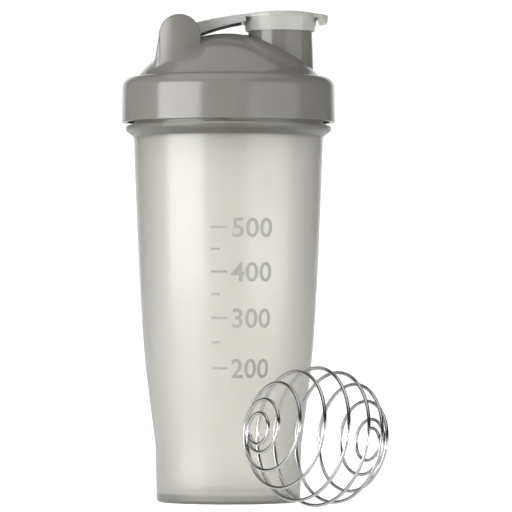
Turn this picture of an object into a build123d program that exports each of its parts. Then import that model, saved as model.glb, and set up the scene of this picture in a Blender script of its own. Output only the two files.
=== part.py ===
from build123d import *
from math import atan2, cos, degrees, hypot, pi, radians, sin, sqrt
import os

# A shaker bottle: a tapered cup, a screw lid with a spout, a flip cap over the spout, a soft seal
# ring under the lid, and a loose wire whisk ball that stands beside the cup.
# Millimetres, +Z up. The origin is the centre of the cup's foot, on the surface it stands on, and
# +X points from the cup's axis towards the spout.

# ---- driving dimensions ----

# cup
cup_wall = 1.6
foot_radius = 33.1  # outside, just above the rounded bottom corner
foot_corner = 1.8
hip_radius = 33.7  # where the straight foot ends and the wall flares
hip_height = 26.8
belly_radius = 38.2
belly_height = 63.5
chest_radius = 40.65
chest_height = 97.0
shoulder_radius = 43.65  # just under the collar
collar_bottom = 167.9
collar_top = 173.2
collar_radius = 47.4
collar_edge = 1.1
foot_ring_width = 3.4
foot_recess = 1.8  # height of the hollow under the floor
floor_top = 4.6
floor_corner = 3.0
neck_radius = 43.7
neck_top = 192.25
rim_round = 0.6

# screw thread, right-handed, one start
thread_pitch = 6.0
thread_depth = 2.2
thread_root = 0.3  # how far a ridge is rooted inside its wall
thread_root_width = 2.6
thread_crest_width = 1.2
thread_turns = 1.25
thread_play = 0.35  # axial gap between the two loaded flanks
neck_thread_start = 181.0

# lid
lid_bottom = 174.8
lid_radius = 49.2
lid_draft = 0.4  # how much the ring narrows on its way up
lid_shoulder = 195.7
lid_shoulder_fall = 0.5
lid_corner = 4.9
lid_inner_radius = 46.7
lid_ceiling = 193.9
dome_radius = 54.0
dome_apex = 215.8
dome_wall = 2.2
dome_crease = 1.0
plug_skirt_radius = 41.4
plug_skirt_wall = 2.0
plug_skirt_bottom = 188.5

# spout
spout_x = 23.8
spout_radius = 14.8
spout_foot_radius = 15.5
spout_foot_height = 197.0
spout_skirt_height = 216.7  # above this the spout is a plain cylinder under the cap's skirt
spout_top = 220.0
spout_bore = 12.8

# hinge
pivot_x = -22.3
pivot_z = 213.7
trunnion_radius = 2.6
trunnion_length = 2.3
trunnion_clearance = 0.06
trunnion_end_gap = 0.3
pocket_radius = 6.0
pocket_wall = 2.0
ear_gap = 25.6  # between the two ears' inner faces
ear_top_radius = 9.5
ear_lean = 2.5  # how much further back an ear's rear edge stands at its foot
ear_foot = 198.0
ear_plan_radius = 18.0
ear_plan_offset = 7.2
ear_edge = 0.8
ear_foot_round = 0.6

# flip cap
crest_x = 27.4  # highest point of the cap's crown
crest_z = 225.3
arm_crown_radius = 178.0
tab_crown_radius = 115.0
arm_width = 24.8
arm_middle = (-5.9, 217.6)  # on the lower edge of the arm's sides
arm_end = (8.0, 220.7)
arm_foot_angle = -10.0  # where that edge leaves the barrel
cap_skin = 2.4
rail_width = 2.2
channel_start = -15.0
channel_end = 6.0
plate_radius = 17.9
plate_underside = 222.9
skirt_bottom_radius = 16.0
skirt_top_radius = 17.1
skirt_bottom = 216.7
skirt_bore = 15.15
cap_plug_radius = 12.65
cap_plug_tip_radius = 12.1
cap_plug_tip = 218.0
cap_plug_wall = 1.6
tab_width = 18.0
tab_end = 45.9
tab_tip_underside = 220.5
tab_lip = (42.2, 219.9)  # where the lip under the tab reaches lowest
tab_corner = 5.0
arm_blend = 5.0  # rounds the plan's inner corner between arm and plate
tab_blend = 2.0  # and between plate and tab
cap_edge = 0.7

# seal ring
seal_inner = 41.5
seal_outer = 44.6
seal_gap = 0.05
seal_round = 0.4

# whisk ball
wire_diameter = 1.6
ball_center = Vector(39.5, -58.0, 31.55)
ball_radius = 30.7  # across its own axis, to the middle of the wire
ball_half_length = 33.0  # along its own axis, to the middle of the wire
ball_swing = 36.5  # degrees, its axis turned from -X towards the front
ball_tilt = 7.6  # degrees, its axis raised at the -X end
ball_turns = 9.7
ball_phase = 28.0  # degrees, where the first turn starts
start_pole_angle = 9.7  # degrees from the pole, which the winding nears at its first end
end_pole_angle = 10.0  # and at its last
start_ring_turns = 0.97  # turns in the small ring that closes the ball at its first end
end_ring_turns = 0.74  # and at its last
ring_blend = 0.25  # radians over which a ring opens into the even winding
start_shift = (0.75, 0.7)  # how far the first pole sits off the axis, sideways and upwards
end_shift = (2.65, -0.95)  # and the last
points_per_turn = 16

# ---- worked out from them ----

cup_inside = shoulder_radius - cup_wall
dome_center_z = dome_apex - dome_radius
dome_foot_radius = sqrt(dome_radius**2 - (lid_shoulder - dome_center_z) ** 2)
dome_inner_radius = dome_radius - dome_wall
plug_skirt_inner = plug_skirt_radius - plug_skirt_wall
crown_center_z = crest_z - arm_crown_radius
# the arm's crown runs onto the barrel without a step
barrel_radius = arm_crown_radius - hypot(pivot_x - crest_x, pivot_z - crown_center_z)
ridge_height = thread_depth + thread_root
ridge_taper = (thread_root_width - thread_crest_width) / ridge_height
lid_crest_radius = lid_inner_radius - thread_depth
neck_ridge_width = thread_root_width - ridge_taper * (lid_crest_radius - neck_radius + thread_root)
lid_thread_start = neck_thread_start - (neck_ridge_width + thread_crest_width) / 2 - thread_play

os.makedirs("parts", exist_ok=True)


def wall_curve(inset):
    """The flared part of the cup's side, from the hip to the collar, moved inwards by inset."""
    return Spline(
        (hip_radius - inset, hip_height),
        (belly_radius - inset, belly_height),
        (chest_radius - inset, chest_height),
        (shoulder_radius - inset, collar_bottom),
        tangents=[(0.13, 1), (0.04, 1)],
    )


def round_corner(section, corner, radius):
    """Round the corner of an open sketch that lies nearest to the given point."""
    fillet(section.vertices().sort_by_distance(Vector(*corner))[0], radius=radius)


def thread_ridge(root_radius, outward, start_height):
    """The ridge's trapezoid, square to its helix at the helix's lower end."""
    lead_angle = degrees(atan2(thread_pitch, 2 * pi * root_radius))
    plane = Plane(
        origin=(root_radius, 0, start_height),
        x_dir=(1, 0, 0),
        z_dir=Vector(0, 1, 0).rotate(Axis.X, lead_angle),
    )
    depth = ridge_height if outward else -ridge_height
    with BuildSketch(plane) as ridge:
        with BuildLine():
            Polyline(
                (0, -thread_root_width / 2),
                (depth, -thread_crest_width / 2),
                (depth, thread_crest_width / 2),
                (0, thread_root_width / 2),
                close=True,
            )
        make_face()
    return ridge.sketch


def thread_helix(root_radius, start_height):
    return Helix(
        pitch=thread_pitch,
        height=thread_pitch * thread_turns,
        radius=root_radius,
        center=(0, 0, start_height),
        mode=Mode.PRIVATE,
    )


def crown_height(x, sink=0.0):
    """Height of the arm's crown at x, or of a curve a given depth below it."""
    return crown_center_z + sqrt((arm_crown_radius - sink) ** 2 - (x - crest_x) ** 2)


# ---- cup ----

with BuildPart() as cup:
    # one wall of even thickness from the foot ring to the neck's rim
    with BuildSketch(Plane.XZ) as cup_section:
        with BuildLine():
            Polyline(
                (0, floor_top),
                (0, foot_recess),
                (foot_radius - foot_ring_width, foot_recess),
                (foot_radius - foot_ring_width, 0),
                (foot_radius, 0),
                (hip_radius, hip_height),
            )
            wall_curve(0)
            Spline(
                (shoulder_radius, collar_bottom),
                (collar_radius - 2.4, collar_bottom + 1.3),
                (collar_radius, collar_top - collar_edge),
                tangents=[(0.7, 1), (0, 1)],
            )
            Polyline(
                (collar_radius, collar_top - collar_edge),
                (collar_radius, collar_top),
                (neck_radius, collar_top),
                (neck_radius, neck_top),
                (cup_inside, neck_top),
                (cup_inside, collar_bottom),
            )
            wall_curve(cup_wall)
            Polyline(
                (hip_radius - cup_wall, hip_height),
                (foot_radius - cup_wall, floor_top),
                (0, floor_top),
            )
        make_face()
        round_corner(cup_section, (foot_radius, 0), foot_corner)
        round_corner(cup_section, (foot_radius - cup_wall, floor_top), floor_corner)
        round_corner(cup_section, (collar_radius, collar_top), collar_edge - 0.05)
        round_corner(cup_section, (neck_radius, neck_top), rim_round)
        round_corner(cup_section, (cup_inside, neck_top), rim_round)
    revolve(axis=Axis.Z)
    sweep(
        thread_ridge(neck_radius - thread_root, True, neck_thread_start),
        path=thread_helix(neck_radius - thread_root, neck_thread_start),
        is_frenet=True,
    )

cup.part.label = "cup"
export_step(cup.part, "parts/cup.step")

# ---- lid ----

with BuildPart() as ears:
    # two upright lugs with round tops; their outer faces bulge, and they lean outwards at the rear
    with BuildSketch(Plane.XZ):
        with BuildLine():
            Polyline(
                (pivot_x + ear_top_radius, pivot_z),
                (pivot_x + ear_top_radius, ear_foot),
                (pivot_x - ear_top_radius - ear_lean, ear_foot),
                (pivot_x - ear_top_radius, pivot_z),
            )
            ThreePointArc(
                (pivot_x - ear_top_radius, pivot_z),
                (pivot_x, pivot_z + ear_top_radius),
                (pivot_x + ear_top_radius, pivot_z),
            )
        make_face()
    extrude(amount=ear_plan_offset + ear_plan_radius, both=True)
    with BuildSketch(Plane.XY.offset(ear_foot)):
        with Locations((pivot_x, ear_plan_offset), (pivot_x, -ear_plan_offset)):
            Circle(ear_plan_radius)
        with Locations((pivot_x, 0)):
            Rectangle(3 * ear_plan_radius, ear_gap, mode=Mode.SUBTRACT)
    extrude(amount=dome_radius, mode=Mode.INTERSECT)
    for face in (ears.faces().sort_by(Axis.Y)[0], ears.faces().sort_by(Axis.Y)[-1]):
        upper_edges = face.edges().filter_by(lambda edge: edge.center().Z > ear_foot + 1)
        fillet(upper_edges, radius=ear_edge)

with BuildPart() as lid_cavity:
    # everything inside the lid: the socket for the neck, the seal's channel and the dome's hollow
    with BuildSketch(Plane.XZ):
        with BuildLine():
            Polyline(
                (0, dome_apex - dome_wall),
                (0, lid_bottom - 1),
                (lid_inner_radius, lid_bottom - 1),
                (lid_inner_radius, lid_ceiling),
                (plug_skirt_radius, lid_ceiling),
                (plug_skirt_radius, plug_skirt_bottom),
                (plug_skirt_inner, plug_skirt_bottom),
                (plug_skirt_inner, dome_center_z + sqrt(dome_inner_radius**2 - plug_skirt_inner**2)),
            )
            ThreePointArc(
                (plug_skirt_inner, dome_center_z + sqrt(dome_inner_radius**2 - plug_skirt_inner**2)),
                (dome_inner_radius * sin(pi / 8), dome_center_z + dome_inner_radius * cos(pi / 8)),
                (0, dome_apex - dome_wall),
            )
        make_face()
    revolve(axis=Axis.Z)
    # the hinge pocket's wall hangs down into the hollow
    with Locations((pivot_x, 0, pivot_z)):
        Cylinder(
            radius=pocket_radius + pocket_wall,
            height=ear_gap + 2 * pocket_wall,
            rotation=(90, 0, 0),
            mode=Mode.SUBTRACT,
        )

with BuildPart() as lid:
    with BuildSketch(Plane.XZ) as lid_section:
        with BuildLine():
            Polyline(
                (0, dome_apex),
                (0, lid_bottom),
                (lid_radius, lid_bottom),
                (lid_radius - lid_draft, lid_shoulder - lid_shoulder_fall),
                (dome_foot_radius, lid_shoulder),
            )
            ThreePointArc(
                (dome_foot_radius, lid_shoulder),
                (dome_radius * sin(pi / 8), dome_center_z + dome_radius * cos(pi / 8)),
                (0, dome_apex),
            )
        make_face()
        round_corner(lid_section, (lid_radius, lid_shoulder), lid_corner)
        round_corner(lid_section, (dome_foot_radius, lid_shoulder), dome_crease)
    revolve(axis=Axis.Z)
    add(ears.part)
    ear_feet = lid.edges(Select.NEW).filter_by(lambda edge: abs(edge.center().Y) > ear_gap / 2 + 0.2)
    fillet(ear_feet, radius=ear_foot_round)
    with Locations((spout_x, 0, spout_foot_height)):
        Cone(
            bottom_radius=spout_foot_radius,
            top_radius=spout_radius,
            height=spout_skirt_height - spout_foot_height,
            align=(Align.CENTER, Align.CENTER, Align.MIN),
        )
    with Locations((spout_x, 0, spout_skirt_height)):
        Cylinder(
            radius=spout_radius,
            height=spout_top - spout_skirt_height,
            align=(Align.CENTER, Align.CENTER, Align.MIN),
        )
    add(lid_cavity.part, mode=Mode.SUBTRACT)
    with Locations((spout_x, 0, lid_bottom)):
        Cylinder(
            radius=spout_bore,
            height=spout_top - lid_bottom,
            align=(Align.CENTER, Align.CENTER, Align.MIN),
            mode=Mode.SUBTRACT,
        )
    with Locations((pivot_x, 0, pivot_z)):
        Cylinder(radius=pocket_radius, height=ear_gap, rotation=(90, 0, 0), mode=Mode.SUBTRACT)
        Cylinder(
            radius=trunnion_radius + trunnion_clearance,
            height=ear_gap + 2 * (trunnion_length + trunnion_end_gap),
            rotation=(90, 0, 0),
            mode=Mode.SUBTRACT,
        )
    sweep(
        thread_ridge(lid_inner_radius + thread_root, False, lid_thread_start),
        path=thread_helix(lid_inner_radius + thread_root, lid_thread_start),
        is_frenet=True,
    )

lid.part.label = "lid"
export_step(lid.part, "parts/lid.step")

# ---- seal ring ----

with BuildPart() as lid_seal:
    # soft ring in the channel between the lid's ceiling and the neck's rim
    with BuildSketch(Plane.XZ) as seal_section:
        with Locations(((seal_inner + seal_outer) / 2, (neck_top + lid_ceiling) / 2)):
            RectangleRounded(
                seal_outer - seal_inner,
                lid_ceiling - neck_top - 2 * seal_gap,
                seal_round,
            )
    revolve(axis=Axis.Z)

lid_seal.part.label = "lid_seal"
export_step(lid_seal.part, "parts/lid_seal.step")

# ---- flip cap ----

plate_meets_arm = spout_x - sqrt(plate_radius**2 - (arm_width / 2) ** 2)
plate_meets_tab = spout_x + sqrt(plate_radius**2 - (tab_width / 2) ** 2)
arm_foot = (
    pivot_x + barrel_radius * cos(radians(arm_foot_angle)),
    pivot_z + barrel_radius * sin(radians(arm_foot_angle)),
)
tab_fall = tab_crown_radius - sqrt(tab_crown_radius**2 - (tab_end - crest_x) ** 2)
half_tab_fall = tab_crown_radius - sqrt(tab_crown_radius**2 - ((tab_end - crest_x) / 2) ** 2)

with BuildPart() as flip_cap:
    # arched arm, plate and drooping tab, seen from the side
    with BuildSketch(Plane.XZ):
        with BuildLine():
            ThreePointArc((pivot_x, crown_height(pivot_x)), (0, crown_height(0)), (crest_x, crest_z))
            ThreePointArc(
                (crest_x, crest_z),
                ((crest_x + tab_end) / 2, crest_z - half_tab_fall),
                (tab_end, crest_z - tab_fall),
            )
            Polyline(
                (tab_end, crest_z - tab_fall),
                (tab_end - 0.4, tab_tip_underside),
                tab_lip,
                (spout_x + skirt_top_radius, plate_underside),
                (arm_end[0], plate_underside),
                arm_end,
            )
            ThreePointArc(arm_end, arm_middle, arm_foot)
            Polyline(arm_foot, (pivot_x, pivot_z), (pivot_x, crown_height(pivot_x)))
        make_face()
    extrude(amount=plate_radius + 1, both=True)
    # and from above
    with BuildSketch(Plane.XY.offset(ear_foot)) as cap_plan:
        with Locations((spout_x, 0)):
            Circle(plate_radius)
            Rectangle(spout_x - pivot_x, arm_width, align=(Align.MAX, Align.CENTER))
            RectangleRounded(2 * (tab_end - spout_x), tab_width, tab_corner)
        for side in (-1, 1):
            round_corner(cap_plan, (plate_meets_arm, side * arm_width / 2), arm_blend)
            round_corner(cap_plan, (plate_meets_tab, side * tab_width / 2), tab_blend)
    extrude(amount=dome_radius, mode=Mode.INTERSECT)
    # each long upper edge of the arm carries its rounding on round the plate and the tab
    crown_edges = flip_cap.faces().filter_by(lambda face: face.normal_at().Z > 0.9).edges()
    fillet(crown_edges.sort_by(Axis.X).filter_by(GeomType.CIRCLE)[:2], radius=cap_edge)
    # the arm is a channel, open below
    with BuildSketch(Plane.XZ):
        with BuildLine():
            ThreePointArc(
                (channel_start, crown_height(channel_start, cap_skin)),
                (
                    (channel_start + channel_end) / 2,
                    crown_height((channel_start + channel_end) / 2, cap_skin),
                ),
                (channel_end, crown_height(channel_end, cap_skin)),
            )
            Polyline(
                (channel_end, crown_height(channel_end, cap_skin)),
                (channel_end, pivot_z - barrel_radius),
                (channel_start, pivot_z - barrel_radius),
                (channel_start, crown_height(channel_start, cap_skin)),
            )
        make_face()
    extrude(amount=arm_width / 2 - rail_width, both=True, mode=Mode.SUBTRACT)
    # skirt outside the spout's rim and tapered plug inside it
    with Locations((spout_x, 0, skirt_bottom)):
        Cone(
            bottom_radius=skirt_bottom_radius,
            top_radius=skirt_top_radius,
            height=plate_underside - skirt_bottom,
            align=(Align.CENTER, Align.CENTER, Align.MIN),
        )
        Cylinder(
            radius=skirt_bore,
            height=plate_underside - skirt_bottom,
            align=(Align.CENTER, Align.CENTER, Align.MIN),
            mode=Mode.SUBTRACT,
        )
    with Locations((spout_x, 0, cap_plug_tip)):
        Cone(
            bottom_radius=cap_plug_tip_radius,
            top_radius=cap_plug_radius,
            height=plate_underside - cap_plug_tip,
            align=(Align.CENTER, Align.CENTER, Align.MIN),
        )
        Cylinder(
            radius=cap_plug_tip_radius - cap_plug_wall,
            height=plate_underside - cap_plug_tip,
            align=(Align.CENTER, Align.CENTER, Align.MIN),
            mode=Mode.SUBTRACT,
        )
    # hinge barrel, with a trunnion at each end
    with Locations((pivot_x, 0, pivot_z)):
        Cylinder(radius=barrel_radius, height=arm_width, rotation=(90, 0, 0))
        Cylinder(radius=trunnion_radius, height=ear_gap + 2 * trunnion_length, rotation=(90, 0, 0))

flip_cap.part.label = "flip_cap"
export_step(flip_cap.part, "parts/flip_cap.step")

# ---- whisk ball ----

swing = radians(ball_swing)
tilt = radians(ball_tilt)
ball_axis = Vector(-cos(swing) * cos(tilt), -sin(swing) * cos(tilt), sin(tilt))
ball_side = ball_axis.cross(Vector(0, 0, 1)).normalized()
ball_up = ball_axis.cross(ball_side)


def ramp(climb):
    """Nothing below 0 and climb above it, with a smooth bend between."""
    return (climb + hypot(climb, ring_blend)) / 2


def wire_point(fraction):
    """A point on the wire's middle line: a ring at each pole, and an even winding between them."""
    turns = ball_turns * fraction
    span = pi - radians(start_pole_angle + end_pole_angle)
    climb = span * (turns - start_ring_turns) / (ball_turns - start_ring_turns - end_ring_turns)
    polar = radians(start_pole_angle) + ramp(climb) - ramp(climb - span)
    turn = radians(ball_phase) + 2 * pi * turns
    near_start = max(cos(polar), 0) ** 3
    near_end = max(-cos(polar), 0) ** 3
    sideways = ball_radius * sin(polar) * cos(turn) + start_shift[0] * near_start + end_shift[0] * near_end
    upwards = ball_radius * sin(polar) * sin(turn) + start_shift[1] * near_start + end_shift[1] * near_end
    along = ball_half_length * cos(polar)
    return ball_center + ball_axis * along + ball_side * sideways + ball_up * upwards


with BuildPart() as whisk_ball:
    steps = round(ball_turns * points_per_turn)
    with BuildLine() as wire_path:
        Spline([wire_point(step / steps) for step in range(steps + 1)])
    with BuildSketch(Plane(origin=wire_path.line @ 0, z_dir=wire_path.line % 0)):
        Circle(wire_diameter / 2)
    sweep(path=wire_path.line, is_frenet=True)

whisk_ball.part.label = "whisk_ball"
export_step(whisk_ball.part, "parts/whisk_ball.step")
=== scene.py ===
import math

import bmesh
import bpy
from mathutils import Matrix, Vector
from mathutils.bvhtree import BVHTree


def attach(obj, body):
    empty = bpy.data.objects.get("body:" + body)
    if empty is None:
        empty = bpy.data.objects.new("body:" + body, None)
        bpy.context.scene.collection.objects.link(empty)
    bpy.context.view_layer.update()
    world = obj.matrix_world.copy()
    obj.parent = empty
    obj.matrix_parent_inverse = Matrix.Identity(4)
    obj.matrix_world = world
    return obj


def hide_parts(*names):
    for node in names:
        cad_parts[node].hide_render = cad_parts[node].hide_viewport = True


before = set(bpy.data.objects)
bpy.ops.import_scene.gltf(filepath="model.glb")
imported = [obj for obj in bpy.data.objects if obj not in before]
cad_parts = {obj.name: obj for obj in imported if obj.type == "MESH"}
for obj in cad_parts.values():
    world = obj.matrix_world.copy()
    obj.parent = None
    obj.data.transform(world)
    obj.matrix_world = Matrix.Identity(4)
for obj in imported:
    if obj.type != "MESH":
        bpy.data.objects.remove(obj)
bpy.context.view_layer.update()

# ---- cup ----
# The drinking cup is one injection moulding of polypropylene, left unpigmented and frosted by a
# fine matt texture in the mould. It has an even wall, a collar, a threaded neck and a thick base.
# It stands on its foot ring and everything else on the bottle is held by it.

MM = 0.001
WELD_DISTANCE = 0.0005 * MM
SHARP_EDGE = math.radians(28)  # a steeper edge between two faces stays sharp
CUP_GRAIN = 0.35 * MM  # the frosting's own grains
CUP_GRAIN_HEIGHT = 0.004 * MM
CUP_TOP = 200 * MM  # the height at the end of the tones below
CUP_SCATTER = (6 * MM, 5.5 * MM, 5 * MM)  # how far red, green and blue light spread in the wall
# Tones by height in millimetres: darker in the foot, and painted shade in the collar and neck, which sit
# in the lid's shadow.
CUP_TONES_AND_SHADE = (
    (0.0, "adadaa"),
    (3.8, "b8b8b5"),
    (4.3, "ffffff"),
    (166.5, "ffffff"),
    (168.4, "bcbcb9"),
    (172.0, "c0c0bd"),
    (173.4, "c4c4c1"),
    (176.0, "c8c8c5"),
)


def piece_from_node(node, name):
    """A welded, smooth-shaded copy of a CAD node, which stands for it."""
    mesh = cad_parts[node].data.copy()
    mesh.name = name
    mesh.materials.clear()
    shell = bmesh.new()
    shell.from_mesh(mesh)
    bmesh.ops.remove_doubles(shell, verts=shell.verts, dist=WELD_DISTANCE)
    for edge in shell.edges:
        edge.smooth = edge.calc_face_angle(0.0) < SHARP_EDGE
    for face in shell.faces:
        face.smooth = True
    shell.to_mesh(mesh)
    shell.free()
    piece = bpy.data.objects.new(name, mesh)
    bpy.context.scene.collection.objects.link(piece)
    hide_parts(node)
    return piece


def linear(hex_colour):
    """An sRGB colour such as "8b8984" as linear RGBA."""
    channels = [int(hex_colour[i : i + 2], 16) / 255 for i in (0, 2, 4)]
    return [c / 12.92 if c <= 0.04045 else ((c + 0.055) / 1.055) ** 2.4 for c in channels] + [1.0]


def add_node(tree, kind, settings=None, links=None, **values):
    """A shader or geometry node with its properties, socket values and incoming links."""
    node = tree.nodes.new(kind)
    for key, value in (settings or {}).items():
        setattr(node, key, value)
    for key, value in values.items():
        node.inputs[key.replace("_", " ")].default_value = value
    for key, source in (links or {}).items():
        tree.links.new(source, node.inputs[key])
    return node


def new_material(name):
    """A material whose node tree is empty, and that tree."""
    material = bpy.data.materials.new(name)
    material.use_nodes = True
    material.node_tree.nodes.clear()
    return material, material.node_tree


def moulded_colour(tree, main, other, patch):
    """A colour that drifts slowly between two tones, as pigment does in moulded plastic."""
    place = add_node(tree, "ShaderNodeTexCoord")
    drift = add_node(
        tree,
        "ShaderNodeTexNoise",
        links={"Vector": place.outputs["Object"]},
        Scale=1 / patch,
        Detail=3.0,
        Roughness=0.55,
    )
    tones = add_node(tree, "ShaderNodeValToRGB", links={"Fac": drift.outputs["Fac"]})
    tones.color_ramp.elements[0].position = 0.3
    tones.color_ramp.elements[0].color = linear(main)
    tones.color_ramp.elements[1].position = 0.7
    tones.color_ramp.elements[1].color = linear(other)
    return place, tones


def fine_bump(tree, place, grain, height):
    """The mould's own fine texture, with grains of the given size and height."""
    grains = add_node(
        tree,
        "ShaderNodeTexNoise",
        links={"Vector": place.outputs["Object"]},
        Scale=1 / grain,
        Detail=2.0,
    )
    return add_node(
        tree,
        "ShaderNodeBump",
        links={"Height": grains.outputs["Fac"]},
        Strength=1.0,
        Distance=height,
    )


cup = piece_from_node("cup", "cup_shell")

# frosted unpigmented polypropylene: milky, lets light through but no clear picture, with painted shade at
# the collar and neck
frosted, tree = new_material("frosted_polypropylene")
place, milky = moulded_colour(tree, "eceae4", "f0eee9", 60 * MM)
texture = fine_bump(tree, place, CUP_GRAIN, CUP_GRAIN_HEIGHT)
spot_on_cup = add_node(tree, "ShaderNodeSeparateXYZ", links={"Vector": place.outputs["Object"]})
height_share = add_node(
    tree,
    "ShaderNodeMapRange",
    links={"Value": spot_on_cup.outputs["Z"]},
    From_Max=CUP_TOP,
)
# tones by height: darker in the foot, and painted shade in the collar and neck under the lid
tone_and_shade = add_node(
    tree,
    "ShaderNodeValToRGB",
    {"label": "wall thickness by height"},
    {"Fac": height_share.outputs["Result"]},
)
while len(tone_and_shade.color_ramp.elements) < len(CUP_TONES_AND_SHADE):
    tone_and_shade.color_ramp.elements.new(0.5)
for element, (height, tone) in zip(tone_and_shade.color_ramp.elements, CUP_TONES_AND_SHADE):
    element.position = height * MM / CUP_TOP
    element.color = linear(tone)
# the milky colour times those tones, which paints the shade under the lid onto the collar and neck
milky_with_shade = add_node(
    tree,
    "ShaderNodeMix",
    {"data_type": "RGBA", "blend_type": "MULTIPLY"},
)
milky_with_shade.inputs[0].default_value = 1.0
tree.links.new(milky.outputs["Color"], milky_with_shade.inputs[6])
tree.links.new(tone_and_shade.outputs["Color"], milky_with_shade.inputs[7])
shader = add_node(
    tree,
    "ShaderNodeBsdfPrincipled",
    links={"Base Color": milky_with_shade.outputs[2], "Normal": texture.outputs["Normal"]},
    Roughness=0.38,
    IOR=1.49,
)
shader.inputs["Transmission Weight"].default_value = 0.85
shader.inputs["Subsurface Weight"].default_value = 1.0
shader.inputs["Subsurface Radius"].default_value = CUP_SCATTER
shader.inputs["Subsurface Scale"].default_value = 1.0
shader.inputs["Coat Weight"].default_value = 0.32
shader.inputs["Coat Roughness"].default_value = 0.1
add_node(tree, "ShaderNodeOutputMaterial", links={"Surface": shader.outputs["BSDF"]})
cup.data.materials.append(frosted)
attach(cup, "cup")

# ---- printed scale ----
# A measuring scale, pad-printed on the outside of the cup in one soft grey ink. The heights of its
# marks come from what the cup holds up to each of them.

SCALE_MIDDLE = math.radians(-85)  # round the cup from +X, towards the front
SCALE_RIGHT = 20 * MM  # past the last numeral, from the scale's middle
SCALE_STEP = 50  # millilitres from mark to mark
SCALE_FIRST = 200
SCALE_LAST = 500
TICK_LEFT = -11.5 * MM  # from the scale's middle, round the cup
TICK_LONG = 7.5 * MM
TICK_SHORT = 4.0 * MM
TICK_HEIGHT = 0.9 * MM
NUMERAL_HEIGHT = 8.6 * MM
NUMERAL_LEFT = -2.4 * MM
NUMERAL_SHARE = 0.7  # a numeral's height in a font of size 1
NUMERAL_BOLDENING = 0.12 * MM
BEND_STEP = 1 * MM  # the flat marks are cut this fine to follow the round wall
INK_THICKNESS = 0.05 * MM
INK_WELD = 0.001 * MM
SCALE_RADIUS = 40.5 * MM  # the cup's own, half way up the scale
CUP_FLOOR = 4.6 * MM
SLICE_HEIGHT = 0.25 * MM
MILLILITRE = 1e-6
OUTSIDE = 100 * MM  # from the cup's middle line, clear of its widest part

cup_surface = BVHTree.FromObject(cup, bpy.context.evaluated_depsgraph_get())


def height_for(volume):
    """The height inside the cup that holds this many millilitres."""
    held, height = 0.0, CUP_FLOOR
    while held < volume * MILLILITRE:
        hit = cup_surface.ray_cast(Vector((0, 0, height + SLICE_HEIGHT / 2)), Vector((1, 0, 0)))[0]
        held += math.pi * hit.x**2 * SLICE_HEIGHT
        height += SLICE_HEIGHT
    return height


def tick_mark(ink, left, middle, width):
    """One bar of the scale, cut into short pieces so that it can bend."""
    steps = max(1, round(width / BEND_STEP))
    for step in range(steps):
        near, far = left + width * step / steps, left + width * (step + 1) / steps
        corners = [
            ink.verts.new((x, z, 0))
            for x, z in (
                (near, middle - TICK_HEIGHT / 2),
                (far, middle - TICK_HEIGHT / 2),
                (far, middle + TICK_HEIGHT / 2),
                (near, middle + TICK_HEIGHT / 2),
            )
        ]
        ink.faces.new(corners)


def numeral(ink, text, left, middle):
    """A number's flat outline, filled, beside its mark."""
    font = bpy.data.curves.new("numeral", "FONT")
    font.body = text
    font.size = NUMERAL_HEIGHT / NUMERAL_SHARE
    font.resolution_u = 6
    font.space_character = 1.04
    font.offset = NUMERAL_BOLDENING
    source = bpy.data.objects.new("numeral", font)
    flat = bpy.data.meshes.new_from_object(source)
    for vertex in flat.vertices:
        vertex.co.x += left
        vertex.co.y += middle - NUMERAL_HEIGHT / 2
    ink.from_mesh(flat)
    bpy.data.objects.remove(source)
    bpy.data.meshes.remove(flat)
    bpy.data.curves.remove(font)


ink = bmesh.new()
for volume in range(SCALE_FIRST, SCALE_LAST + 1, SCALE_STEP):
    mark_height = height_for(volume)
    whole = volume % 100 == 0
    tick_mark(ink, TICK_LEFT, mark_height, TICK_LONG if whole else TICK_SHORT)
    if whole:
        numeral(ink, str(volume), NUMERAL_LEFT, mark_height)
for cut in range(round(TICK_LEFT / BEND_STEP), round(SCALE_RIGHT / BEND_STEP)):
    bmesh.ops.bisect_plane(
        ink,
        geom=ink.verts[:] + ink.edges[:] + ink.faces[:],
        plane_co=(cut * BEND_STEP, 0, 0),
        plane_no=(1, 0, 0),
    )
bmesh.ops.remove_doubles(ink, verts=ink.verts, dist=INK_WELD)
for vertex in ink.verts:
    along, height = vertex.co.x, vertex.co.y
    angle = SCALE_MIDDLE + along / SCALE_RADIUS
    outwards = Vector((math.cos(angle), math.sin(angle), 0))
    start = outwards * OUTSIDE + Vector((0, 0, height))
    vertex.co = cup_surface.ray_cast(start, -outwards)[0] + outwards * INK_THICKNESS
# bending moved every point, so the faces' directions are worked out again before they are tested
ink.normal_update()
for face in ink.faces:
    face.smooth = True
    if face.normal.dot(face.calc_center_median() * Vector((1, 1, 0))) < 0:
        face.normal_flip()
ink_mesh = bpy.data.meshes.new("printed_scale")
ink.to_mesh(ink_mesh)
ink.free()
printed = bpy.data.objects.new("printed_scale", ink_mesh)
bpy.context.scene.collection.objects.link(printed)

# thin soft grey pad-printing ink, a little patchy as it follows the matt texture
print_ink, tree = new_material("soft_grey_print")
tones = moulded_colour(tree, "a2a29f", "ababa8", 3 * MM)[1]
shader = add_node(
    tree,
    "ShaderNodeBsdfPrincipled",
    links={"Base Color": tones.outputs["Color"]},
    Roughness=0.45,
)
add_node(tree, "ShaderNodeOutputMaterial", links={"Surface": shader.outputs["BSDF"]})
printed.data.materials.append(print_ink)
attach(printed, "cup")

# ---- seal ring ----
# A soft ring of natural silicone, pressed into the lid under its shoulder. The cup's rim closes on it.

seal = piece_from_node("lid_seal", "seal_ring")

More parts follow.
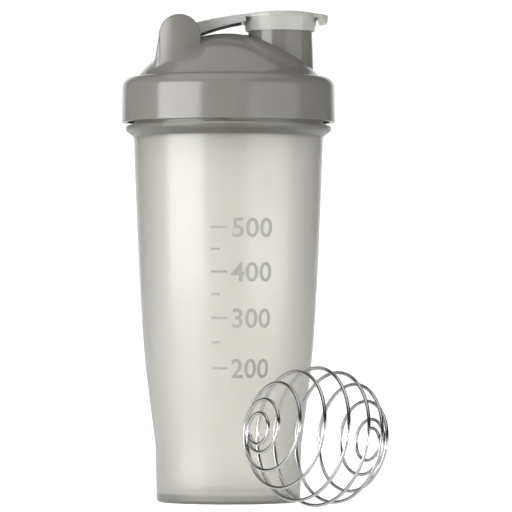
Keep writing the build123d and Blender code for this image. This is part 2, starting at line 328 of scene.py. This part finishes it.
# matt translucent silicone, faintly dusty
silicone, tree = new_material("matt_silicone")
place, tones = moulded_colour(tree, "c9c9c4", "d2d2cd", 12 * MM)
texture = fine_bump(tree, place, 0.2 * MM, 0.01 * MM)
shader = add_node(
    tree,
    "ShaderNodeBsdfPrincipled",
    links={"Base Color": tones.outputs["Color"], "Normal": texture.outputs["Normal"]},
    Roughness=0.55,
)
shader.inputs["Subsurface Weight"].default_value = 0.3
shader.inputs["Subsurface Radius"].default_value = (0.6 * MM, 0.55 * MM, 0.5 * MM)
shader.inputs["Subsurface Scale"].default_value = 1.0
add_node(tree, "ShaderNodeOutputMaterial", links={"Surface": shader.outputs["BSDF"]})
seal.data.materials.append(silicone)
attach(seal, "seal")

# ---- lid ----
# The screw lid is one injection moulding of grey pigmented polypropylene: ring, shoulder, dome,
# spout and the two hinge ears. It screws onto the cup's neck.

FLOW_MARK = 2.5 * MM
POLISH_LOW, POLISH_HIGH = -0.03, 0.04  # how far the roughness drifts from a plastic's own

lid = piece_from_node("lid", "lid_shell")


def glossy_plastic(name, main, other, roughness):
    """Pigmented polypropylene from a polished mould, with faint flow and handling marks."""
    material, tree = new_material(name)
    place, tones = moulded_colour(tree, main, other, 18 * MM)
    wipe = add_node(
        tree,
        "ShaderNodeMapping",
        links={"Vector": place.outputs["Object"]},
        Scale=(1.0, 1.0, 3.0),
    )
    marks = add_node(
        tree,
        "ShaderNodeTexNoise",
        links={"Vector": wipe.outputs["Vector"]},
        Scale=1 / FLOW_MARK,
        Detail=4.0,
        Roughness=0.6,
    )
    polish = add_node(
        tree,
        "ShaderNodeMapRange",
        links={"Value": marks.outputs["Fac"]},
    )
    polish.inputs["From Min"].default_value = 0.3
    polish.inputs["From Max"].default_value = 0.7
    polish.inputs["To Min"].default_value = roughness + POLISH_LOW
    polish.inputs["To Max"].default_value = roughness + POLISH_HIGH
    texture = fine_bump(tree, place, 0.9 * MM, 0.0022 * MM)
    shader = add_node(
        tree,
        "ShaderNodeBsdfPrincipled",
        links={
            "Base Color": tones.outputs["Color"],
            "Roughness": polish.outputs["Result"],
            "Normal": texture.outputs["Normal"],
        },
        IOR=1.5,
    )
    add_node(tree, "ShaderNodeOutputMaterial", links={"Surface": shader.outputs["BSDF"]})
    return material


# warm mid-grey semi-gloss polypropylene
lid.data.materials.append(glossy_plastic("warm_grey_polypropylene", "7d7b76", "817f7a", 0.17))
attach(lid, "lid")

# ---- flip cap ----
# One moulding of light grey polypropylene. Its trunnions snap into the lid's ears, and its plate,
# skirt and plug close the spout.

flip_cap = piece_from_node("flip_cap", "flip_cap_shell")
# light warm grey polypropylene, a little duller than the lid
flip_cap.data.materials.append(glossy_plastic("light_grey_polypropylene", "b5b4af", "b9b8b3", 0.24))
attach(flip_cap, "flip_cap")

# ---- whisk ball ----
# One length of bright drawn stainless spring wire, wound on a mandrel into a slightly long open
# ball from pole to pole, with both ends cropped and tumbled round. It lies loose beside the cup.

WIRE_RADIUS = 0.8 * MM
BALL_CENTRE = Vector((39.5, -58.0, 31.55)) * MM
BALL_RADIUS = 30.7 * MM  # across its own axis
BALL_HALF_LENGTH = 33.0 * MM  # along its own axis
BALL_SWING = math.radians(36.5)  # its axis turned from -X towards the front
BALL_TILT = math.radians(7.6)  # and raised at the -X end
BALL_TURNS = 9.7
BALL_PHASE = math.radians(28.0)
START_POLE = math.radians(9.7)  # from the pole, which the winding nears at its first end
END_POLE = math.radians(10.0)
START_RING_TURNS = 0.97  # turns in the small ring that closes the ball at its first end
END_RING_TURNS = 0.74
RING_BLEND = 0.25  # radians over which a ring opens into the even winding
START_SHIFT = Vector((0.75, 0.7)) * MM  # how far a pole sits off the axis, sideways and upwards
END_SHIFT = Vector((2.65, -0.95)) * MM
POINTS_PER_TURN = 72
WIRE_SIDES = 16
BEAD_RINGS = 10
DRAW_LINE_LENGTH = 4 * MM
DRAW_LINE_COUNT = 5.0  # how many times finer the draw lines are round the wire

ball_axis = Vector(
    (
        -math.cos(BALL_SWING) * math.cos(BALL_TILT),
        -math.sin(BALL_SWING) * math.cos(BALL_TILT),
        math.sin(BALL_TILT),
    )
)
ball_side = ball_axis.cross(Vector((0, 0, 1))).normalized()
ball_up = ball_axis.cross(ball_side)


def ramp(climb):
    """Nothing below 0 and climb above it, with a smooth bend between."""
    return (climb + math.hypot(climb, RING_BLEND)) / 2


def wire_point(fraction):
    """A point on the wire's middle line: a ring at each pole, and an even winding between them."""
    turns = BALL_TURNS * fraction
    span = math.pi - START_POLE - END_POLE
    climb = span * (turns - START_RING_TURNS) / (BALL_TURNS - START_RING_TURNS - END_RING_TURNS)
    polar = START_POLE + ramp(climb) - ramp(climb - span)
    turn = BALL_PHASE + 2 * math.pi * turns
    ring = BALL_RADIUS * math.sin(polar) * Vector((math.cos(turn), math.sin(turn)))
    ring += START_SHIFT * max(math.cos(polar), 0) ** 3
    ring += END_SHIFT * max(-math.cos(polar), 0) ** 3
    along = BALL_HALF_LENGTH * math.cos(polar)
    return BALL_CENTRE + ball_axis * along + ball_side * ring.x + ball_up * ring.y


path = bpy.data.curves.new("wire_path", "CURVE")
path.dimensions = "3D"
steps = round(BALL_TURNS * POINTS_PER_TURN)
line = path.splines.new("POLY")
line.points.add(steps)
for step in range(steps + 1):
    line.points[step].co = (*wire_point(step / steps), 1.0)
wire_path = bpy.data.objects.new("wire_path", path)
bpy.context.scene.collection.objects.link(wire_path)

# bright drawn stainless steel: mirror-like, with fine draw lines along the wire
steel, tree = new_material("bright_drawn_stainless")
along = add_node(tree, "ShaderNodeAttribute", {"attribute_name": "wire_place"})
lines = add_node(
    tree,
    "ShaderNodeTexNoise",
    links={"Vector": along.outputs["Vector"]},
    Scale=1.0,
    Detail=3.0,
    Roughness=0.6,
)
polish = add_node(tree, "ShaderNodeMapRange", links={"Value": lines.outputs["Fac"]})
polish.inputs["From Min"].default_value = 0.3
polish.inputs["From Max"].default_value = 0.7
polish.inputs["To Min"].default_value = 0.06
polish.inputs["To Max"].default_value = 0.12
tones = add_node(tree, "ShaderNodeValToRGB", links={"Fac": lines.outputs["Fac"]})
tones.color_ramp.elements[0].position = 0.3
tones.color_ramp.elements[0].color = linear("b2b2b0")
tones.color_ramp.elements[1].position = 0.7
tones.color_ramp.elements[1].color = linear("c0c0be")
draw_lines = add_node(
    tree,
    "ShaderNodeBump",
    links={"Height": lines.outputs["Fac"]},
    Strength=1.0,
    Distance=0.002 * MM,
)
shader = add_node(
    tree,
    "ShaderNodeBsdfPrincipled",
    links={
        "Base Color": tones.outputs["Color"],
        "Roughness": polish.outputs["Result"],
        "Normal": draw_lines.outputs["Normal"],
    },
    Metallic=1.0,
)
add_node(tree, "ShaderNodeOutputMaterial", links={"Surface": shader.outputs["BSDF"]})

winding = bpy.data.node_groups.new("wound_wire", "GeometryNodeTree")
winding.interface.new_socket("Path", in_out="INPUT", socket_type="NodeSocketObject")
winding.interface.new_socket("Wire Radius", in_out="INPUT", socket_type="NodeSocketFloat")
winding.interface.new_socket("Sides", in_out="INPUT", socket_type="NodeSocketInt")
winding.interface.new_socket("Draw Line Length", in_out="INPUT", socket_type="NodeSocketFloat")
winding.interface.new_socket("Material", in_out="INPUT", socket_type="NodeSocketMaterial")
winding.interface.new_socket("Geometry", in_out="OUTPUT", socket_type="NodeSocketGeometry")
given = add_node(winding, "NodeGroupInput").outputs
source = add_node(winding, "GeometryNodeObjectInfo", links={"Object": given["Path"]})
spot = add_node(winding, "GeometryNodeSplineParameter")
stretched = add_node(
    winding,
    "ShaderNodeMath",
    {"operation": "DIVIDE"},
    {0: spot.outputs["Length"], 1: given["Draw Line Length"]},
)
marked = add_node(
    winding,
    "GeometryNodeStoreNamedAttribute",
    {"data_type": "FLOAT", "domain": "POINT"},
    {"Geometry": source.outputs["Geometry"], "Value": stretched.outputs[0]},
    Name="wire_along",
)
section = add_node(
    winding,
    "GeometryNodeCurvePrimitiveCircle",
    {"mode": "RADIUS"},
    {"Resolution": given["Sides"], "Radius": given["Wire Radius"]},
)
swept = add_node(
    winding,
    "GeometryNodeCurveToMesh",
    links={"Curve": marked.outputs["Geometry"], "Profile Curve": section.outputs["Curve"]},
)
swept.inputs["Fill Caps"].default_value = True
tips = add_node(winding, "GeometryNodeCurveEndpointSelection")
bead = add_node(
    winding,
    "GeometryNodeMeshUVSphere",
    links={"Segments": given["Sides"], "Radius": given["Wire Radius"]},
)
bead.inputs["Rings"].default_value = BEAD_RINGS
ends = add_node(
    winding,
    "GeometryNodeInstanceOnPoints",
    links={
        "Points": source.outputs["Geometry"],
        "Selection": tips.outputs["Selection"],
        "Instance": bead.outputs["Mesh"],
    },
)
both = add_node(winding, "GeometryNodeJoinGeometry")
winding.links.new(ends.outputs["Instances"], both.inputs["Geometry"])
winding.links.new(swept.outputs["Mesh"], both.inputs["Geometry"])
made = add_node(winding, "GeometryNodeRealizeInstances", links={"Geometry": both.outputs["Geometry"]})
around = add_node(winding, "GeometryNodeInputNormal")
travelled = add_node(winding, "GeometryNodeInputNamedAttribute", {"data_type": "FLOAT"}, Name="wire_along")
across = add_node(
    winding,
    "ShaderNodeVectorMath",
    {"operation": "SCALE"},
    {0: around.outputs["Normal"]},
    Scale=DRAW_LINE_COUNT,
)
spread = add_node(winding, "ShaderNodeCombineXYZ", links={"X": travelled.outputs["Attribute"]})
place_value = add_node(
    winding,
    "ShaderNodeVectorMath",
    {"operation": "ADD"},
    {0: across.outputs["Vector"], 1: spread.outputs["Vector"]},
)
placed = add_node(
    winding,
    "GeometryNodeStoreNamedAttribute",
    {"data_type": "FLOAT_VECTOR", "domain": "POINT"},
    {"Geometry": made.outputs["Geometry"], "Value": place_value.outputs["Vector"]},
    Name="wire_place",
)
smooth = add_node(
    winding,
    "GeometryNodeSetShadeSmooth",
    links={"Geometry": placed.outputs["Geometry"]},
)
dressed = add_node(
    winding,
    "GeometryNodeSetMaterial",
    links={"Geometry": smooth.outputs["Geometry"], "Material": given["Material"]},
)
add_node(winding, "NodeGroupOutput", links={"Geometry": dressed.outputs["Geometry"]})

carrier = bpy.data.objects.new("wire_carrier", bpy.data.meshes.new("wire_carrier"))
bpy.context.scene.collection.objects.link(carrier)
wound = carrier.modifiers.new("wound_wire", "NODES")
wound.node_group = winding
for item in winding.interface.items_tree:
    if item.in_out == "INPUT":
        wound[item.identifier] = {
            "Path": wire_path,
            "Wire Radius": WIRE_RADIUS,
            "Sides": WIRE_SIDES,
            "Draw Line Length": DRAW_LINE_LENGTH,
            "Material": steel,
        }[item.name]
ball_mesh = bpy.data.meshes.new_from_object(carrier.evaluated_get(bpy.context.evaluated_depsgraph_get()))
ball_mesh.name = "whisk_wire"
bpy.data.objects.remove(carrier)
bpy.data.objects.remove(wire_path)
ball = bpy.data.objects.new("whisk_wire", ball_mesh)
bpy.context.scene.collection.objects.link(ball)
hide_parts("whisk_ball")
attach(ball, "whisk_ball")

# ---- studio ----
# A plain white table under a pale surround. Two softboxes, a bright one on the left and a weaker one
# on the right, draw an upright band on each side of round walls. A low card on the right lifts the
# cup's foot, and a wide softbox overhead lights the dome. None of it belongs to the object.

TABLE_REACH = 4.0
GLOW_NEAR, GLOW_FAR = 0.1, 0.5  # the table brightens between these distances from the cup's middle
GLOW_LOW, GLOW_HIGH = 0.88, 1.0
GLOW_AS_LIGHT = 0.5  # the share of that glow which falls on the object
BEHIND_START, BEHIND_FULL = 0.82, 0.93  # how far a direction points backwards, from 0 to 1
SURROUND_DARK, SURROUND_BRIGHT = 0.05, 1.15
LIGHTS_AIM = Vector((0, 0, 0.12))
# name, then degrees round from the front and upwards, distance, width, height and power
LIGHTS = (
    ("softbox_left", -55, 5, 1.2, 1.12, 0.56, 12.8),
    ("softbox_right", 51.5, 2, 1.2, 1.36, 0.5, 3.2),
    ("low_card_right", 50, -6, 0.8, 0.8, 0.13, 1.1),
    ("softbox_top", -25, 80, 1.2, 1.8, 1.8, 11.0),
)
CAMERA_PLACE = Vector((0, -1.95, 0.083))
CAMERA_AIM = Vector((0.0127, 0, 0.1132))

table_mesh = bpy.data.meshes.new("table")
corners = [(x * TABLE_REACH, y * TABLE_REACH, 0) for x, y in ((-1, -1), (1, -1), (1, 1), (-1, 1))]
table_mesh.from_pydata(corners, [], [(0, 1, 2, 3)])
table = bpy.data.objects.new("table", table_mesh)
bpy.context.scene.collection.objects.link(table)
white_top, tree = new_material("white_table")
place = add_node(tree, "ShaderNodeTexCoord")
distance = add_node(
    tree,
    "ShaderNodeVectorMath",
    {"operation": "LENGTH"},
    {0: place.outputs["Object"]},
)
glow = add_node(
    tree,
    "ShaderNodeMapRange",
    links={"Value": distance.outputs["Value"]},
    From_Min=GLOW_NEAR,
    From_Max=GLOW_FAR,
    To_Min=GLOW_LOW,
    To_Max=GLOW_HIGH,
)
# the table glows in full where it is seen, also through the cup, and less as a light on the object
ray = add_node(tree, "ShaderNodeLightPath")
is_seen = add_node(
    tree,
    "ShaderNodeMath",
    {"operation": "MAXIMUM"},
    {0: ray.outputs["Is Camera Ray"], 1: ray.outputs["Is Transmission Ray"]},
)
share = add_node(
    tree,
    "ShaderNodeMapRange",
    links={"Value": is_seen.outputs["Value"]},
    To_Min=GLOW_AS_LIGHT,
)
shared_glow = add_node(
    tree,
    "ShaderNodeMath",
    {"operation": "MULTIPLY"},
    {0: glow.outputs["Result"], 1: share.outputs["Result"]},
)
shader = add_node(
    tree,
    "ShaderNodeBsdfPrincipled",
    Base_Color=linear("f4f4f2"),
    Roughness=0.6,
)
shader.inputs["Emission Color"].default_value = (1, 1, 1, 1)
tree.links.new(shared_glow.outputs["Value"], shader.inputs["Emission Strength"])
add_node(tree, "ShaderNodeOutputMaterial", links={"Surface": shader.outputs["BSDF"]})
table_mesh.materials.append(white_top)

surround = bpy.data.worlds.new("pale_surround")
bpy.context.scene.world = surround
surround.use_nodes = True
tree = surround.node_tree
tree.nodes.clear()
# the surround is white where it is seen, and as a light it is dark except behind the object
direction = add_node(tree, "ShaderNodeTexCoord")
parts = add_node(tree, "ShaderNodeSeparateXYZ", links={"Vector": direction.outputs["Generated"]})
behind = add_node(tree, "ShaderNodeMapRange", links={"Value": parts.outputs["Y"]})
behind.inputs["From Min"].default_value = BEHIND_START
behind.inputs["From Max"].default_value = BEHIND_FULL
behind.inputs["To Min"].default_value = SURROUND_DARK
behind.inputs["To Max"].default_value = SURROUND_BRIGHT
ray = add_node(tree, "ShaderNodeLightPath")
brightness = add_node(
    tree,
    "ShaderNodeMath",
    {"operation": "MAXIMUM"},
    {0: behind.outputs["Result"], 1: ray.outputs["Is Camera Ray"]},
)
light = add_node(tree, "ShaderNodeBackground", links={"Strength": brightness.outputs["Value"]})
light.inputs["Color"].default_value = (1, 1, 1, 1)
add_node(tree, "ShaderNodeOutputWorld", links={"Surface": light.outputs["Background"]})

for name, azimuth, elevation, reach, width, height, power in LIGHTS:
    softbox = bpy.data.lights.new(name, "AREA")
    softbox.shape = "RECTANGLE"
    softbox.size = width
    softbox.size_y = height
    softbox.energy = power
    softbox_stand = bpy.data.objects.new(name, softbox)
    bpy.context.scene.collection.objects.link(softbox_stand)
    turn, rise = math.radians(azimuth), math.radians(elevation)
    towards = Vector(
        (math.sin(turn) * math.cos(rise), -math.cos(turn) * math.cos(rise), math.sin(rise))
    )
    softbox_stand.location = LIGHTS_AIM + towards * reach
    softbox_stand.rotation_mode = "QUATERNION"
    softbox_stand.rotation_quaternion = towards.to_track_quat("Z", "Y")
    softbox_stand.visible_camera = False

lens = bpy.data.cameras.new("camera")
lens.lens = 297.5
lens.sensor_width = 36
lens.clip_start = 0.05
lens.clip_end = 20
camera = bpy.data.objects.new("camera", lens)
bpy.context.scene.collection.objects.link(camera)
camera.location = CAMERA_PLACE
camera.rotation_mode = "QUATERNION"
camera.rotation_quaternion = (CAMERA_PLACE - CAMERA_AIM).to_track_quat("Z", "Y")
bpy.context.scene.camera = camera
bpy.context.scene.view_settings.view_transform = "Standard"
